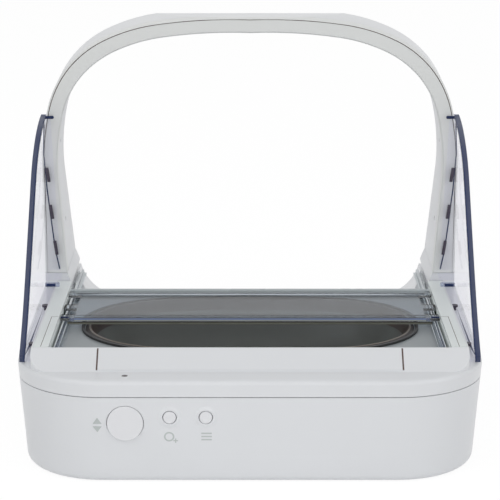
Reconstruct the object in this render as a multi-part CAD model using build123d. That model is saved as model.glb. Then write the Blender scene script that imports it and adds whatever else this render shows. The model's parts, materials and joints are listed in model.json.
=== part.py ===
from build123d import *
import os
from math import atan2, cos, hypot, pi, radians, sin, tan

# Feeder for one pet, free standing. Millimetres, +Z up, origin in the middle of the footprint.
# -Y is the owner's side with the buttons, +Y is the side where the pet puts its head in.

# Driving dimensions. The cover's rounded rim takes the overall size down to 230 x 320 x 200
WIDTH = 230.5
REAR_Y = -160.2
FRONT_Y = 166.9
HEIGHT = 200.0
WALL = 2.5
FOOT_STAND = 1.2
POST_SPLIT_Z = 18.0
SCREW_HEAD_Z = 9.2
SCREW_PLACES = [(-83, -146), (83, -146), (-86, 66), (86, 66)]
DRAFT_DEG = 4.5
TUB_TOP_Z = 53.0
PLAN_REAR_R = 44.0
PLAN_FRONT_R = 58.0
BOTTOM_R = 15.0

# Deck: a plane through the hump's rear edge that falls towards the pet
DECK_Y = -132.0
DECK_Z = 61.0
DECK_DEG = 3.0
LEDGE_Z = 52.7
LEDGE_Y = -144.8
LEDGE_FALL = 0.02
RIM_R = 2.0
HUMP_HALF_W = 107.0
BAY_HALF_W = 98.6

# Seam between the tub and the cover, as (y, z)
SEAM = [(-165, 44.5), (30, 42), (120, 9.5), (145, 4.0), (175, 4.0)]
SEAM_GAP = 0.4

# Bowl and lid
BOWL_HALF_W = 85.0
BOWL_HALF_L = 54.0
BOWL_S = 64.0
BOWL_RIM_T = -4.3
BOWL_DEPTH = 30.0
BOWL_END_R = 50.0
LEAF_HALF_W = 91.0
LEAF_THICK = 1.5
LEAF_START_S = 62.0
LEAF_END_S = 121.6
REAR_LEAF_T = -0.4
FRONT_LEAF_T = -2.3
CLAMP_S = 84.0

# Lid drive
SHAFT_Y = -126.8
SHAFT_Z = 44.6
SHAFT_R = 2.0
PULLEY_R = 4.4
BELT_THICK = 1.2
BELT_X = 102.5
BELT_WIDTH = 4.0
IDLER_Y = 28.0
GEAR_MODULE = 1.0
SHAFT_TEETH = 10
MOTOR_TEETH = 8
GEAR_X = 57.0

# Hoop
HOOP_HALF_W = 113.5
HOOP_SPRING_Z = 110.0
HOOP_POWER = 3.05
ARCH_STEPS = 20
HOOP_BAND = 8.2
HOOP_SKIN = 1.8
HOOP_CROWN_SKIN = 3.4
HOOP_REAR_Y = 15.0
HOOP_SPLIT_Y = 23.0
HOOP_FRONT_Y = 51.0
HOOP_FOOT_Z = 58.0
HOOP_FOOT_REACH = 20.0
HOOP_FOOT_CURL = 4.0
HOOP_HOLES_Z = (84, 129)
HOOP_GROOVE = (0.8, 1.2)

# Controls on the owner's face
BIG_BUTTON = (-60.0, 31.3, 8.75)
SMALL_BUTTONS = {"mode_button": (-38.6, 34.4, 3.1), "function_button": (-21.2, 34.4, 3.1)}
BUTTON_FACE_Y = -159.4
BUTTON_GAP = 0.3

# Batteries
CELL_R = 12.9
CELL_LENGTH = 49.0
CELL_Y = 13.5
CELL_Z = 18.6
DOOR_HINGE_Y = 0.4
DOOR_HINGE_Z = 2.5

deck_frame = Location((0, DECK_Y, DECK_Z), (-DECK_DEG, 0, 0))


def deck_z(y):
    return DECK_Z - (y - DECK_Y) * tan(radians(DECK_DEG))


def ledge_z(y):
    return LEDGE_Z - (y - LEDGE_Y) * LEDGE_FALL


def box(x0, x1, y0, y1, z0, z1):
    return Pos((x0 + x1) / 2, (y0 + y1) / 2, (z0 + z1) / 2) * Box(x1 - x0, y1 - y0, z1 - z0)


def yz_prism(points, x0, x1):
    face = Plane.YZ.offset(x0) * make_face(Polyline(*points, close=True))
    return extrude(face, x1 - x0)


def y_rod(x, z, radius, y0, y1):
    return extrude(Plane.XZ.offset(-y0) * Pos(x, z) * Circle(radius), -(y1 - y0))


def x_rod(y, z, radius, x0, x1):
    return extrude(Plane.YZ.offset(x0) * Pos(y, z) * Circle(radius), x1 - x0)


def both_sides(shape):
    return shape + mirror(shape, about=Plane.YZ)


def mirrored(shape):
    return mirror(shape, about=Plane.YZ)


def oval(grow):
    # four-centre oval: two end arcs and two long side arcs, all tangent
    half_w, half_l, end_r = BOWL_HALF_W + grow, BOWL_HALF_L + grow, BOWL_END_R + grow
    centre = half_w - end_r
    side_r = (centre ** 2 + half_l ** 2 - end_r ** 2) / (2 * (half_l - end_r))
    reach = end_r / (side_r - end_r)
    x, y = centre + centre * reach, (side_r - half_l) * reach
    arcs = [ThreePointArc((-x, y), (0, half_l), (x, y)), ThreePointArc((x, y), (half_w, 0), (x, -y)),
            ThreePointArc((x, -y), (0, -half_l), (-x, -y)), ThreePointArc((-x, -y), (-half_w, 0), (-x, y))]
    return make_face(arcs)


# Tub and cover ---------------------------------------------------------------

def hull(inset, floor_z, bottom_r, rounded=True):
    flare = (TUB_TOP_Z - floor_z) * tan(radians(DRAFT_DEG))
    half_w = WIDTH / 2 - inset - flare
    rear, front = REAR_Y + inset + flare, FRONT_Y - inset - flare
    plan = make_face(Polyline((-half_w, rear), (half_w, rear), (half_w, front), (-half_w, front), close=True))
    plan = fillet(plan.vertices().sort_by(Axis.Y)[:2], PLAN_REAR_R - inset - flare)
    plan = fillet(plan.vertices().sort_by(Axis.Y)[-2:], PLAN_FRONT_R - inset - flare)
    lower = extrude(Plane.XY.offset(floor_z) * plan, TUB_TOP_Z - floor_z, taper=-DRAFT_DEG)
    bottom = lower.faces().sort_by(Axis.Z)[0].edges()
    lower = fillet(bottom, bottom_r) if rounded else chamfer(bottom, bottom_r * 0.6)
    top_face = lower.faces().sort_by(Axis.Z)[-1]
    return lower + extrude(top_face, 20, dir=(0, 0, 1))


outer_hull = hull(0, FOOT_STAND, BOTTOM_R)
inner_hull = hull(WALL, FOOT_STAND + WALL, BOTTOM_R - WALL, False)

NOSE_FLOOR = [(-8, 49), (152, 6.0), (175, 6.0)]
NOSE_DEG = 15.04
COVE_R = 20.0
COVE_START_Y = 26.0
LEDGE_LINE = [(LEDGE_Y, LEDGE_Z), (15, ledge_z(15)), (78, 46), (116, 20), (152, 6.0), (175, 6.0)]


def below(line, drop=0.0, floor=-5.0, x=WIDTH):
    points = [(y, z - drop) for y, z in line]
    return yz_prism(points + [(line[-1][0], floor), (line[0][0], floor)], -x, x)


def battery_door_hole(grow=0.0):
    return box(4 - grow, 102 + grow, -1 - grow, 29 + grow, -1, 12)


def make_base_shell():
    tub = (outer_hull & below(SEAM)) - inner_hull
    tub = tub - both_sides(battery_door_hole())
    for x, z, radius in [BIG_BUTTON] + list(SMALL_BUTTONS.values()):
        tub = tub - y_rod(x, z, radius + BUTTON_GAP, -165, -150)
        if radius < 5:
            dish = Plane.XZ.offset(-BUTTON_FACE_Y) * Pos(x, z) * Circle(5.4)
            tub = tub - extrude(dish, 1.5, taper=-35)
    # lip that the cover sits over, all round inside the seam
    lip_outer = hull(WALL + 0.2, FOOT_STAND + WALL, BOTTOM_R - WALL - 0.2, False)
    lip_inner = hull(WALL + 1.5, FOOT_STAND + WALL, BOTTOM_R - WALL - 1.5, False)
    band = below(SEAM, -1.6) - below(SEAM, 2.5)
    lip = ((lip_outer - lip_inner) & band) - box(-99, 99, 120, 170, -5, 30)
    carrier = (hull(WALL - 0.4, FOOT_STAND + WALL, BOTTOM_R - WALL, False) - lip_inner)
    carrier = carrier & (below(SEAM, 0.6) - below(SEAM, 2.5)) - box(-99, 99, 120, 170, -5, 30)
    tub = tub + lip + carrier
    # screw posts and the bay walls for the cells
    for x, y in SCREW_PLACES:
        post = extrude(Plane.XY.offset(FOOT_STAND + 1) * Circle(4), POST_SPLIT_Z - FOOT_STAND - 1)
        tub = (tub + (Pos(x, y, 0) * post & outer_hull)) - Pos(x, y, 0) * extrude(Circle(1.5), 40)
        tub = tub - Pos(x, y, 0) * extrude(Circle(3.2), SCREW_HEAD_Z + 1.8)
    for y in (-2.4, 29.4):
        tub = tub + box(-104, 104, y - 0.7, y + 0.7, FOOT_STAND + 1, 22)
    return tub


def make_top_cover():
    seam = [(y, z + SEAM_GAP) for y, z in SEAM]
    hump = yz_prism([(LEDGE_Y, LEDGE_Z), (DECK_Y, DECK_Z), (15, deck_z(15)), (15, 20), (LEDGE_Y, 20)],
                    -HUMP_HALF_W, HUMP_HALF_W)
    ends = [e for e in hump.edges().filter_by(Axis.Z) if abs(e.center().Y - LEDGE_Y) < 1]
    hump = fillet(ends, 9.0)
    ledge_line = [(-165, ledge_z(-165))] + LEDGE_LINE
    # the ledge's plane cut right through, its rim rounded, then the slope of the nose cut from that
    block = outer_hull & below([(-165, ledge_z(-165)), (175, ledge_z(175))])
    block = fillet(block.faces().sort_by(Axis.Z)[-1].edges(), RIM_R)
    outer = (block & below([(-165, 60)] + [(LEDGE_Y, 60), (14, 60)] + LEDGE_LINE[1:])) + hump
    core_line = [(y, z - WALL) for y, z in ledge_line]
    core = inner_hull & below(core_line)
    hump_core = yz_prism([(LEDGE_Y + 1.8, LEDGE_Z - WALL - 4), (LEDGE_Y + 1.8, LEDGE_Z - 1.6),
                          (DECK_Y + 0.4, DECK_Z - WALL), (13, deck_z(13) - WALL), (13, 30)],
                         -HUMP_HALF_W + 1.5, HUMP_HALF_W - 1.5)
    cover = outer - core - hump_core
    cover = cover - below(seam)
    # open bay for the bowl and the channel in front of it
    bay = yz_prism([(DECK_Y + 0.3, 20), (DECK_Y + 0.3, 80), (175, 80)] + NOSE_FLOOR[::-1] + [(-8, 20)],
                   -BAY_HALF_W, BAY_HALF_W)
    nose = below(NOSE_FLOOR, 0, x=BAY_HALF_W + 1) - below(NOSE_FLOOR, WALL, x=BAY_HALF_W + 2)
    nose = (nose & outer_hull) - (below(seam) & box(-WIDTH, WIDTH, 110, 180, -10, 30))
    cheek = yz_prism([(-8, 46.6), (112, 14.4), (116, 20), (78, 46), (15, 49), (15, deck_z(15)),
                      (-8, deck_z(-8))], BAY_HALF_W, BAY_HALF_W + 0.8)
    # slots that the belt clamps run into at the open end of the lid's travel
    clamp_slot = box(96.4, 104, -10, 24, 30, 48.5)
    nose = nose - both_sides(clamp_slot)
    cover = (cover - bay) + nose + both_sides((cheek - clamp_slot) & outer_hull) + both_sides(channel_cove())
    for y in PANEL_SCREWS_Y:
        cover = cover - both_sides(Pos(109.2, y, ledge_z(y)) * Cylinder(1.0, 8))
    # recess in the hump's face for its centre panel, and the hole for the light
    cover = cover - centre_panel(0.35)
    cover = cover - Pos(-60.3, -151, 40) * extrude(Plane.XY * Circle(1.55), 20)
    for x, y in SCREW_PLACES:
        height = 33 if y < 0 else 9.3
        post = extrude(Plane.XY.offset(POST_SPLIT_Z + 0.2) * Circle(3.8), height)
        post = post - extrude(Plane.XY * Circle(1.3), POST_SPLIT_Z + height - 3)
        cover = cover + Pos(x, y, 0) * post
    strips = both_sides(deck_strip(0.0))
    return cover - strips


def channel_cove():
    # hollow fillet between the channel's side and its floor, cut off under the lid's guides
    x0, x1 = BAY_HALF_W - COVE_R, BAY_HALF_W + 0.4
    fill = yz_prism([(COVE_START_Y, 36), (COVE_START_Y, 60), (148, 30), (148, 5.5)], x0, x1)
    along = Location((0, NOSE_FLOOR[0][0], NOSE_FLOOR[0][1]), (-NOSE_DEG, 0, 0))
    roll = along * (Pos(x0, 80, COVE_R) * Rot(90, 0, 0) * Cylinder(COVE_R, 260))
    under_lid = deck_frame * box(-WIDTH, WIDTH, 0, 190, -7.3, 40)
    cover_side = below(LEDGE_LINE, 0.2) & outer_hull
    above_floor = below([(y, z - 1.0) for y, z in NOSE_FLOOR])
    return ((fill & cover_side) - roll) - under_lid - above_floor


def centre_panel(grow=0.0):
    line = [(LEDGE_Y + 0.9, LEDGE_Z + 0.58), (DECK_Y - 0.4, DECK_Z - 0.26)]
    (y0, z0), (y1, z1) = line
    rise = atan2(z1 - z0, y1 - y0)
    down = (sin(rise) * (1.2 + grow), -cos(rise) * (1.2 + grow))
    up = (-sin(rise) * 0.3, cos(rise) * 0.3)
    points = [(y0 + up[0], z0 + up[1]), (y1 + up[0], z1 + up[1]), (y1 + down[0], z1 + down[1]),
              (y0 + down[0], z0 + down[1])]
    return yz_prism(points, -73.9 - 2 * grow, 73.9 + 2 * grow)


def make_hump_centre_panel():
    return centre_panel()


def deck_strip(gap):
    strip = box(BAY_HALF_W - 0.01, HUMP_HALF_W - 0.8 - gap, 0.8 + gap, 145.5 - gap, -1.0, 0.25)
    return deck_frame * strip


def make_tray():
    top = -5.5
    shelf = box(-96.4, 96.4, 1.0, 122.2, top - 1.6, top)
    rim = box(-96.4, 96.4, 1.0, 122.2, top - 1.6, -4.7) - box(-94.6, 94.6, 2.8, 120.4, top, 0)
    well = bowl_loft(1.2, BOWL_DEPTH + 2.4, top - 0.2) - bowl_loft(-0.6, BOWL_DEPTH + 0.8, top + 0.1)
    tray = shelf + rim - bowl_loft(-0.6, BOWL_DEPTH + 0.8, top + 0.1) + well
    return deck_frame * tray


def bowl_loft(grow, depth, top):
    levels = [(0.0, 0.0), (0.45, 2.2), (0.82, 6.0), (1.0, 13.0)]
    faces = [Pos(0, BOWL_S, top - depth * part) * oval(grow - 2.2 - pull) for part, pull in levels]
    return loft(faces, ruled=True)


def make_bowl():
    outer = bowl_loft(-1.2, BOWL_DEPTH, BOWL_RIM_T - 0.9)
    rim = Pos(0, BOWL_S, BOWL_RIM_T - 0.9) * extrude(oval(0), 0.9)
    inner = bowl_loft(-3.0, BOWL_DEPTH - 1.8, BOWL_RIM_T + 0.01)
    return deck_frame * ((outer + rim) - inner)


def make_bowl_seal():
    outer = extrude(Pos(0, BOWL_S, -5.5) * oval(2.0), 1.2)
    inner = extrude(Pos(0, BOWL_S, -5.6) * oval(0.5), 1.5)
    return deck_frame * (outer - inner)


# Lid -------------------------------------------------------------------------

def make_rear_leaf():
    t1, t0 = REAR_LEAF_T, REAR_LEAF_T - LEAF_THICK
    plate = box(-LEAF_HALF_W, LEAF_HALF_W, LEAF_START_S, LEAF_END_S, t0, t1)
    grip = box(-LEAF_HALF_W, LEAF_HALF_W, LEAF_START_S, LEAF_START_S + 1.2, t0, t1 + 1.4)
    ears = both_sides(box(LEAF_HALF_W - 1, 98.0, LEAF_START_S, LEAF_START_S + 8, t0, t1))
    ears = ears + both_sides(box(LEAF_HALF_W - 1, 98.0, LEAF_END_S - 7, LEAF_END_S, t0, t1))
    arm = box(LEAF_HALF_W - 1, 98.0, CLAMP_S, CLAMP_S + 8, t0, t1)
    arm = arm + box(97.0, 98.0, CLAMP_S, CLAMP_S + 8, -13.4, t0)
    for t in (-13.4, -10.2):
        arm = arm + box(97.0, 104.4, CLAMP_S, CLAMP_S + 8, t, t + 1.2)
    return deck_frame * (plate + grip + ears + both_sides(arm))


def make_front_leaf():
    t1, t0 = FRONT_LEAF_T, FRONT_LEAF_T - LEAF_THICK
    plate = box(-94.4, 94.4, LEAF_START_S, LEAF_END_S, t0, t1)
    return deck_frame * plate


def make_lid_bar():
    bar = box(-95.0, 95.0, LEAF_END_S - 3.2, LEAF_END_S, REAR_LEAF_T, REAR_LEAF_T + 2.0)
    edge = [e for e in bar.edges().filter_by(Axis.X) if e.center().Z > REAR_LEAF_T + 1]
    bar = fillet(edge, 0.9)
    pins = both_sides(Pos(95, LEAF_END_S - 1.6, REAR_LEAF_T + 1.0) * Rot(0, 90, 0) * Cylinder(0.8, 5))
    return deck_frame * (bar + pins)


def make_lid_guide():
    # ledge under the front leaf's edge, with an upright lip; it widens to the wall past the clamp
    step = box(93.6, 96.4, 2.0, 186.0, -4.6, -4.0)
    lip = box(95.0, 96.4, 2.0, 186.0, -4.0, -2.2)
    wide = box(94.8, 98.4, 158.0, 186.0, -7.0, -4.0)
    return deck_frame * (step + lip + wide)


# Lid drive -------------------------------------------------------------------

def spur(teeth, width, bore):
    root = GEAR_MODULE * teeth / 2 - 1.2 * GEAR_MODULE
    tip = GEAR_MODULE * teeth / 2 + 0.9 * GEAR_MODULE
    pitch = GEAR_MODULE * teeth / 2
    step = 2 * pi / teeth
    points = []
    for i in range(teeth):
        a = i * step
        flank = [(root, 0.36), (pitch, 0.225), (tip, 0.10)]
        for radius, part in [(radius, -part) for radius, part in flank] + flank[::-1]:
            points.append((radius * cos(a + part * step), radius * sin(a + part * step)))
    gear = extrude(make_face(Polyline(*points, close=True)), width)
    return gear - extrude(Circle(bore), width)


def along_x(shape, x, y, z, turn=0.0):
    return Pos(x, y, z) * Rot(0, 90, 0) * Rot(0, 0, turn) * shape


def make_shaft():
    return x_rod(SHAFT_Y, SHAFT_Z, SHAFT_R, -106.2, 106.2)


def pulley(bore):
    wheel = Cylinder(PULLEY_R, BELT_WIDTH + 0.8)
    flange = Cylinder(PULLEY_R + 1.1, 0.5)
    wheel = wheel + Pos(0, 0, -BELT_WIDTH / 2 - 0.65) * flange + Pos(0, 0, BELT_WIDTH / 2 + 0.65) * flange
    return wheel - Cylinder(bore, BELT_WIDTH + 4)


def make_drive_pulley():
    return along_x(pulley(SHAFT_R + 0.03), BELT_X, SHAFT_Y, SHAFT_Z)


IDLER_Z = SHAFT_Z - (IDLER_Y - SHAFT_Y) * tan(radians(DECK_DEG))


def make_idler_pulley():
    return along_x(pulley(1.55), BELT_X, IDLER_Y, IDLER_Z)


def make_idler_pin():
    return x_rod(IDLER_Y, IDLER_Z, 1.5, 99.7, 106.8)


def belt_loop(radius):
    span = hypot(IDLER_Y - SHAFT_Y, IDLER_Z - SHAFT_Z)
    middle = Location(((SHAFT_Y + IDLER_Y) / 2, (SHAFT_Z + IDLER_Z) / 2), (0, 0, -DECK_DEG))
    return middle * SlotCenterToCenter(span, 2 * radius)


def make_belt():
    x0 = BELT_X - BELT_WIDTH / 2
    outer = extrude(Plane.YZ.offset(x0) * belt_loop(PULLEY_R + BELT_THICK), BELT_WIDTH)
    inner = extrude(Plane.YZ.offset(x0 - 1) * belt_loop(PULLEY_R + 0.05), BELT_WIDTH + 2)
    return outer - inner


def make_shaft_gear():
    return along_x(spur(SHAFT_TEETH, 5, SHAFT_R + 0.03), GEAR_X, SHAFT_Y, SHAFT_Z)


MOTOR_Z = SHAFT_Z - GEAR_MODULE * (SHAFT_TEETH + MOTOR_TEETH) / 2 - 0.15


def make_motor_pinion():
    half_tooth = 180 / MOTOR_TEETH
    return along_x(spur(MOTOR_TEETH, 5, 1.53), GEAR_X, SHAFT_Y, MOTOR_Z, half_tooth)


def make_gear_motor():
    gearbox = box(45, 54, SHAFT_Y - 6, SHAFT_Y + 6, MOTOR_Z - 5, MOTOR_Z + 5)
    can = x_rod(SHAFT_Y, MOTOR_Z, 6, 25, 45) & box(20, 50, SHAFT_Y - 6, SHAFT_Y + 6, MOTOR_Z - 5, MOTOR_Z + 5)
    boss = x_rod(SHAFT_Y, MOTOR_Z, 2.4, 54, 55)
    return gearbox + can + boss + x_rod(SHAFT_Y, MOTOR_Z, 0.9, 21, 25)


def make_motor_shaft():
    return x_rod(SHAFT_Y, MOTOR_Z, 1.5, 55.1, 63)


def make_shaft_bush():
    bush = x_rod(SHAFT_Y, SHAFT_Z, 4.0, 88, 92) - x_rod(SHAFT_Y, SHAFT_Z, SHAFT_R + 0.05, 87, 93)
    arm = box(88, 92, SHAFT_Y - 3, SHAFT_Y + 3, FOOT_STAND + WALL, SHAFT_Z - 3.2)
    return bush + arm


# Hoop ------------------------------------------------------------------------

def hoop_outline(band):
    half_w = HOOP_HALF_W - band
    rise = HEIGHT - HOOP_SPRING_Z - band
    arch = []
    for i in range(ARCH_STEPS + 1):
        c, h = cos(pi * i / ARCH_STEPS), abs(sin(pi * i / ARCH_STEPS))
        x = half_w * abs(c) ** (2 / HOOP_POWER) * (1 if c >= 0 else -1)
        arch.append((x, HOOP_SPRING_Z + rise * h ** (2 / HOOP_POWER)))
    arch[0], arch[-1] = (half_w, HOOP_SPRING_Z), (-half_w, HOOP_SPRING_Z)
    curve = [ThreePointArc(*arch[i:i + 3]) for i in range(0, ARCH_STEPS, 2)]
    foot_w = half_w - HOOP_FOOT_CURL * band / HOOP_BAND
    legs = Polyline(arch[-1], (-foot_w, HOOP_FOOT_Z), (foot_w, HOOP_FOOT_Z), arch[0])
    return make_face(curve + list(legs.edges()))


def hoop_ring(band_out, band_in, y0, y1):
    outer = extrude(Plane.XZ.offset(-y0) * hoop_outline(band_out), -(y1 - y0))
    inner = extrude(Plane.XZ.offset(-y0) * hoop_outline(band_in), -(y1 - y0))
    cut = box(-WIDTH, WIDTH, y0 - 1, y1 + 1, 0, HOOP_FOOT_Z)
    return outer - inner - cut


def hoop_side():
    # side view of the hoop: narrow at the crown, deeper towards the feet, top falling forwards
    foot_y = HOOP_FRONT_Y + HOOP_FOOT_REACH
    front = [(HOOP_FRONT_Y, 197.2), (HOOP_FRONT_Y + 1, 150), (HOOP_FRONT_Y + 7, 110), (foot_y, HOOP_FOOT_Z)]
    return yz_prism([(HOOP_REAR_Y, 40), (HOOP_REAR_Y, HEIGHT)] + front + [(foot_y, 40)], -WIDTH, WIDTH)


def make_hoop_rear_shell():
    ring = hoop_ring(0, HOOP_BAND, HOOP_REAR_Y, HOOP_SPLIT_Y)
    groove = hoop_ring(HOOP_SKIN, HOOP_BAND - HOOP_SKIN, HOOP_REAR_Y + HOOP_SKIN, HOOP_SPLIT_Y)
    face_edges = ring.faces().sort_by(Axis.Y)[0].edges()
    ring = chamfer([e for e in face_edges if e.center().Z > HOOP_FOOT_Z + 1], 0.7)
    seam = hoop_ring(*HOOP_GROOVE, HOOP_REAR_Y - 0.5, HOOP_REAR_Y + 0.5)
    return (ring & hoop_side()) - groove - seam


def make_hoop_front_shell():
    y1 = HOOP_FRONT_Y + HOOP_FOOT_REACH
    ring = hoop_ring(0, HOOP_BAND, HOOP_SPLIT_Y + 0.3, y1) & hoop_side()
    groove = hoop_ring(HOOP_CROWN_SKIN, HOOP_BAND - HOOP_SKIN, HOOP_SPLIT_Y - 1, HOOP_FRONT_Y - 3)
    shell = ring - groove
    for z in HOOP_HOLES_Z:
        shell = shell - both_sides(x_rod(HOOP_REAR_Y + 20, z, 1.35, 100, 107.2))
    return shell


def make_antenna_coil():
    return hoop_ring(HOOP_CROWN_SKIN + 0.5, HOOP_BAND - HOOP_SKIN - 0.5, HOOP_REAR_Y + 4, HOOP_FRONT_Y - 6)


def make_hoop_foot():
    # foot that carries the hoop's leg down to the cover, curling inwards at the bottom
    inner_x = HOOP_HALF_W - HOOP_BAND - HOOP_FOOT_CURL
    outline = [(HOOP_HALF_W, HOOP_FOOT_Z - 0.3), (HOOP_HALF_W, 50.2), (98.8, 50.2), (98.8, 51.5),
               (inner_x, HOOP_FOOT_Z - 0.3)]
    face = make_face(Polyline(*outline, close=True))
    foot = extrude(Plane.XZ.offset(-HOOP_REAR_Y - 0.4) * face, -(HOOP_FRONT_Y + HOOP_FOOT_REACH - HOOP_REAR_Y - 0.8))
    over = yz_prism([(10, 49.6), (HOOP_REAR_Y, 49.8), (78, 46.3), (90, 46.3), (90, 70), (10, 70)], 90, 120)
    return foot & over


# Side panels -----------------------------------------------------------------

PANEL_SCREWS_Y = (-104, -32)
PANEL_EDGE = [(-129, 56.0), (-103, 75.5), (-82, 96), (-61, 117.5), (-47, 131), (-28, 141.2), (14.7, 148)]


def panel_outline(inset):
    free = [(y + inset * 0.6, z - inset * 0.8) for y, z in PANEL_EDGE]
    front_y, rear_y = free[-1][0], free[0][0]
    bottom = Polyline(free[-1], (front_y, ledge_z(front_y) + 0.2 - inset), (rear_y, ledge_z(rear_y) + 0.2 - inset),
                      free[0])
    return make_face([Spline(*free)] + list(bottom.edges()))


def make_side_panel():
    x0, x1 = 111.4, 113.2
    sheet = extrude(Plane.YZ.offset(x0) * panel_outline(0), x1 - x0)
    edge = extrude(Plane.YZ.offset(x0 - 0.9) * panel_outline(0), 1.3)
    edge = edge - extrude(Plane.YZ.offset(x0 - 3) * panel_outline(2.0), 4) - box(100, 112, 12.6, 15, 62, 146)
    front = make_face(Polyline((x0 + 0.5, 60), (x0 + 0.5, 146), (108.6, 146), (104.8, 60), close=True))
    front = extrude(Plane.XZ.offset(-13.2) * front, -1.5)
    foot = yz_prism([(-128, ledge_z(-128) + 0.2), (14, ledge_z(14) + 0.2), (14, ledge_z(14) + 1.6),
                     (-128, ledge_z(-128) + 1.6)], 107.3, 112)
    for y in PANEL_SCREWS_Y:
        foot = foot - Pos(109.2, y, ledge_z(y)) * Cylinder(1.0, 8)
    rib = box(104.0, x0 + 0.5, 4, 13.3, 57.0, 58.4)
    return sheet + edge + front + foot + rib


CLIPS = [(107.1, 73), (108.9, 96), (110.3, 119)]


def make_panel_clips():
    return [box(x - 0.9, x + 0.9, 11.8, 13.1, z - 4, z + 4) for x, z in CLIPS]


def make_panel_screws():
    head = extrude(Circle(1.9), 1.0) + extrude(Circle(0.9), -4.0)
    return [Pos(109.2, y, ledge_z(y) + 1.75) * head for y in PANEL_SCREWS_Y]


# Controls --------------------------------------------------------------------

def make_button(x, z, radius):
    cap = y_rod(x, z, radius, BUTTON_FACE_Y, -155.0)
    cap = chamfer(cap.faces().sort_by(Axis.Y)[0].edges(), 0.4)
    flange = y_rod(x, z, radius + 1.4, -155.0, -153.8)
    stem = y_rod(x, z, 1.8, -153.8, -151.9)
    return cap + flange + stem


def make_button_switches():
    parts = []
    for x, z, radius in [BIG_BUTTON] + list(SMALL_BUTTONS.values()):
        body = box(x - 3, x + 3, -149.6, -147.5, z - 3, z + 3)
        parts.append(body + y_rod(x, z, 1.4, -150.5, -149.5))
    return parts


def make_button_pcb():
    board = box(-76, -10, -147.5, -146.0, 18, 39.5)
    return board


def make_main_pcb():
    board = box(66, 80, -150.0, -148.6, 8, 40)
    return board


def make_light_pipe():
    return Pos(-60.3, -151, 0) * extrude(Plane.XY.offset(44.0) * Circle(1.5), LEDGE_Z - 44.0 + 0.1)


# Power -----------------------------------------------------------------------

def make_cells():
    cells = []
    for x0 in (5.5, 55.5):
        body = x_rod(CELL_Y, CELL_Z, CELL_R, x0, x0 + CELL_LENGTH - 1.6)
        cells.append(body + x_rod(CELL_Y, CELL_Z, 3.3, x0 + CELL_LENGTH - 1.6, x0 + CELL_LENGTH - 0.2))
    return cells


def make_contacts():
    plate = box(104.6, 105.2, CELL_Y - 9, CELL_Y + 9, 8, 28)
    near = box(3.9, 4.6, CELL_Y - 9, CELL_Y + 9, 8, 28)
    return [plate, near]


def make_battery_door():
    # the rear edge is the hinge's barrel, with a pin hole right through it
    door = box(4.3, 101.7, DOOR_HINGE_Y, 28.7, FOOT_STAND + 0.3, FOOT_STAND + 2.3)
    door = door + x_rod(DOOR_HINGE_Y, DOOR_HINGE_Z, 1.0, 4.3, 101.7)
    door = door - x_rod(DOOR_HINGE_Y, DOOR_HINGE_Z, 0.5, 4, 102)
    grip = box(45, 61, 24.5, 26.5, FOOT_STAND, FOOT_STAND + 1.1)
    return door - grip


def make_feet():
    feet = []
    for x, y in ((-84, -128), (84, -128), (-84, 118), (84, 118)):
        feet.append(Pos(x, y, 0) * extrude(Circle(7), FOOT_STAND))
    return feet


def make_case_screws():
    screw = extrude(Plane.XY.offset(SCREW_HEAD_Z + 1.7) * Circle(1.25), 12)
    screw = screw + extrude(Plane.XY.offset(SCREW_HEAD_Z) * Circle(2.7), 1.8)
    return [Pos(x, y, 0) * screw for x, y in SCREW_PLACES]


def save(name, *shapes):
    solids = []
    for shape in shapes:
        solids.extend(shape.solids())
    result = solids[0] if len(solids) == 1 else Compound(children=solids)
    export_step(result, f"parts/{name}.step")
    print(name, len(solids), round(sum(s.volume for s in solids)))


def save_pair(name, shapes):
    shapes = shapes if isinstance(shapes, list) else [shapes]
    save(name + "_right", *shapes)
    save(name + "_left", *[mirrored(shape) for shape in shapes])


os.makedirs("parts", exist_ok=True)
save("base_shell", make_base_shell())
save("top_cover", make_top_cover())
save("hump_centre_panel", make_hump_centre_panel())
save("bowl_tray", make_tray())
save("bowl", make_bowl())
save("bowl_seal", make_bowl_seal())
save("rear_leaf", make_rear_leaf())
save("front_leaf", make_front_leaf())
save("lid_bar", make_lid_bar())
save("drive_shaft", make_shaft())
save("shaft_gear", make_shaft_gear())
save("gear_motor", make_gear_motor())
save("motor_shaft", make_motor_shaft())
save("motor_pinion", make_motor_pinion())
save("hoop_rear_shell", make_hoop_rear_shell())
save("hoop_front_shell", make_hoop_front_shell())
save("antenna_coil", make_antenna_coil())
save("open_close_button", make_button(*BIG_BUTTON))
for name, place in SMALL_BUTTONS.items():
    save(name, make_button(*place))
save("button_switches", *make_button_switches())
save("button_pcb", make_button_pcb())
save("main_pcb", make_main_pcb())
save("light_pipe", make_light_pipe())
save("rubber_feet", *make_feet())
save("case_screws", *make_case_screws())
save_pair("deck_strip", deck_strip(0.15))
save_pair("lid_guide", make_lid_guide())
save_pair("drive_pulley", make_drive_pulley())
save_pair("idler_pulley", make_idler_pulley())
save_pair("idler_pin", make_idler_pin())
save_pair("drive_belt", make_belt())
save_pair("shaft_bush", make_shaft_bush())
save_pair("hoop_foot", make_hoop_foot())
save_pair("side_panel", make_side_panel())
save_pair("panel_clips", make_panel_clips())
save_pair("panel_screws", make_panel_screws())
save_pair("battery_cells", make_cells())
save_pair("battery_contacts", make_contacts())
save_pair("battery_door", make_battery_door())
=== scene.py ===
import bpy
import bmesh
import json
from math import cos, pi, radians, sin, sqrt, tan
from mathutils import Matrix, Vector


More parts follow.
